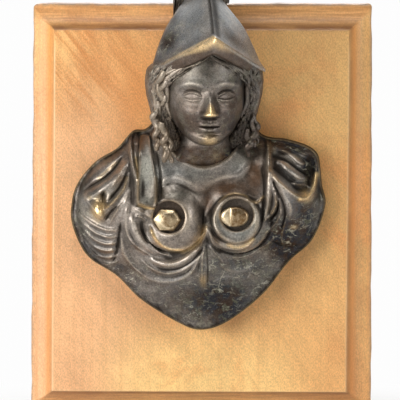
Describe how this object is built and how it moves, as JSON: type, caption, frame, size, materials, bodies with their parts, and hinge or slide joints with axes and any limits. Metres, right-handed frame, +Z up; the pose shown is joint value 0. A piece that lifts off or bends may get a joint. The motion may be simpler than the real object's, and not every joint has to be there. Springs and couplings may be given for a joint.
{
  "type": "minerva bust",
  "caption": "Hollow bronze relief bust of a helmeted classical goddess, bolted through its breast bosses to a rectangular wooden wall plaque with a moulded edge.",
  "frame": {"origin": "centre of the plaque's back face", "axes": "+Z up, +Y out of the plaque's back into the wall, +X to the right seen from the front"},
  "size_m": [0.18, 0.0876, 0.2595],
  "materials": {
    "bronze": "dark brown patina, rubbed to gold on the high points",
    "plaque_wood": "waxed honey-coloured fruitwood",
    "bolt_brass": "aged brass",
    "nut_steel": "plain steel"
  },
  "bodies": {
    "root": {"plaque_board": "plaque_wood", "bust_casting": "bronze", "bolt_left": "bolt_brass", "washer_left": "nut_steel", "nut_left": "nut_steel", "bolt_right": "bolt_brass", "washer_right": "nut_steel", "nut_right": "nut_steel"}
  },
  "joints": []
}
